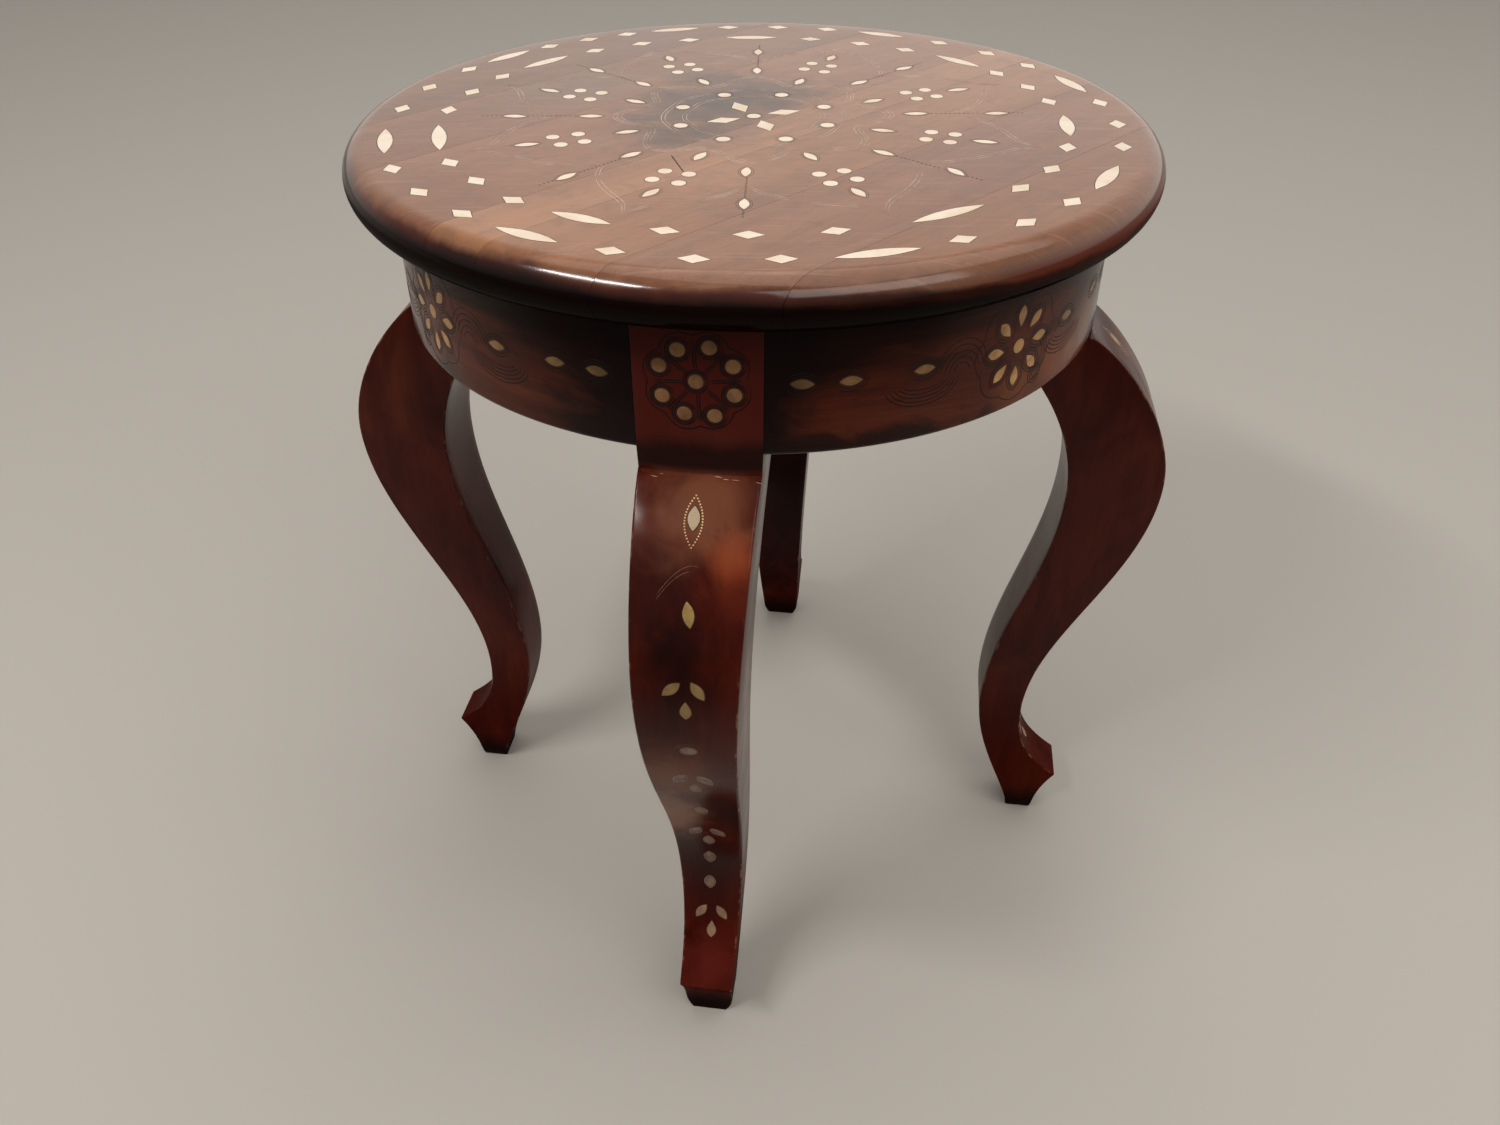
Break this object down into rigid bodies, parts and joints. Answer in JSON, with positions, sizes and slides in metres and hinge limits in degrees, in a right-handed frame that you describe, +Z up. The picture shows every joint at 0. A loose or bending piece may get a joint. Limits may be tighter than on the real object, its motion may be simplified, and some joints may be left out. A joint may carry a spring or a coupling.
{
  "type": "round inlaid stool",
  "caption": "Round inlaid rosewood stool: a glued-up seat with a round nose on a curved apron and sawn cabriole legs with pointed feet.",
  "frame": {"origin": "on the floor, under the middle of the round seat", "axes": "+Z up; the legs lie on the axes, the front leg on -Y, the right leg on +X, the back leg on +Y and the left leg on -X"},
  "size_m": [0.441, 0.441, 0.44],
  "materials": {
    "seat_wood": "satin lacquer over brown rosewood strips",
    "seat_wood_orange": "satin lacquer over orange-brown rosewood strips",
    "seat_wood_dark": "satin lacquer over dark rosewood strips",
    "apron_wood": "gloss lacquer over dark red-brown rosewood",
    "leg_wood": "gloss lacquer over red-brown rosewood",
    "block_wood": "sawn, unfinished",
    "bone": "polished bone under lacquer",
    "brass": "dull gold under lacquer",
    "screw_steel": "bright steel"
  },
  "bodies": {
    "root": {"apron_rail_back_left": "apron_wood", "apron_rail_back_right": "apron_wood", "apron_rail_front_left": "apron_wood", "apron_rail_front_right": "apron_wood", "bone_diamond_1": "bone", "bone_diamond_2": "bone", "bone_diamond_3": "bone", "bone_diamond_4": "bone", "bone_dot_centre": "bone", "bone_dot_middle_1": "bone", "bone_dot_middle_2": "bone", "bone_dot_middle_3": "bone", "bone_dot_middle_4": "bone", "bone_dot_middle_5": "bone", "bone_dot_middle_6": "bone", "bone_dot_middle_7": "bone", "bone_dot_middle_8": "bone", "bone_leaf_inner_1": "bone", "bone_leaf_inner_2": "bone", "bone_leaf_inner_3": "bone", "bone_leaf_inner_4": "bone", "bone_leaf_inner_5": "bone", "bone_leaf_inner_6": "bone", "bone_leaf_inner_7": "bone", "bone_leaf_outer_1": "bone", "bone_leaf_outer_2": "bone", "bone_leaf_outer_3": "bone", "bone_leaf_outer_4": "bone", "bone_leaf_outer_5": "bone", "bone_leaf_outer_6": "bone", "bone_leaf_outer_7": "bone", "bone_leaf_outer_8": "bone", "glue_block_back_1": "block_wood", "glue_block_back_2": "block_wood", "glue_block_front_1": "block_wood", "glue_block_front_2": "block_wood", "glue_block_left_1": "block_wood", "glue_block_left_2": "block_wood", "glue_block_right_1": "block_wood", "glue_block_right_2": "block_wood", "leg_back": "leg_wood", "leg_front": "leg_wood", "leg_left": "leg_wood", "leg_right": "leg_wood", "top_board_1": "seat_wood", "top_board_2": "seat_wood", "top_board_3": "seat_wood_orange", "top_board_4": "seat_wood_orange", "top_board_5": "seat_wood_dark", "top_board_6": "seat_wood", "top_board_7": "seat_wood_dark", "top_screw_back_1": "screw_steel", "top_screw_back_2": "screw_steel", "top_screw_front_1": "screw_steel", "top_screw_front_2": "screw_steel", "top_screw_left_1": "screw_steel", "top_screw_left_2": "screw_steel", "top_screw_right_1": "screw_steel", "top_screw_right_2": "screw_steel"}
  },
  "joints": []
}
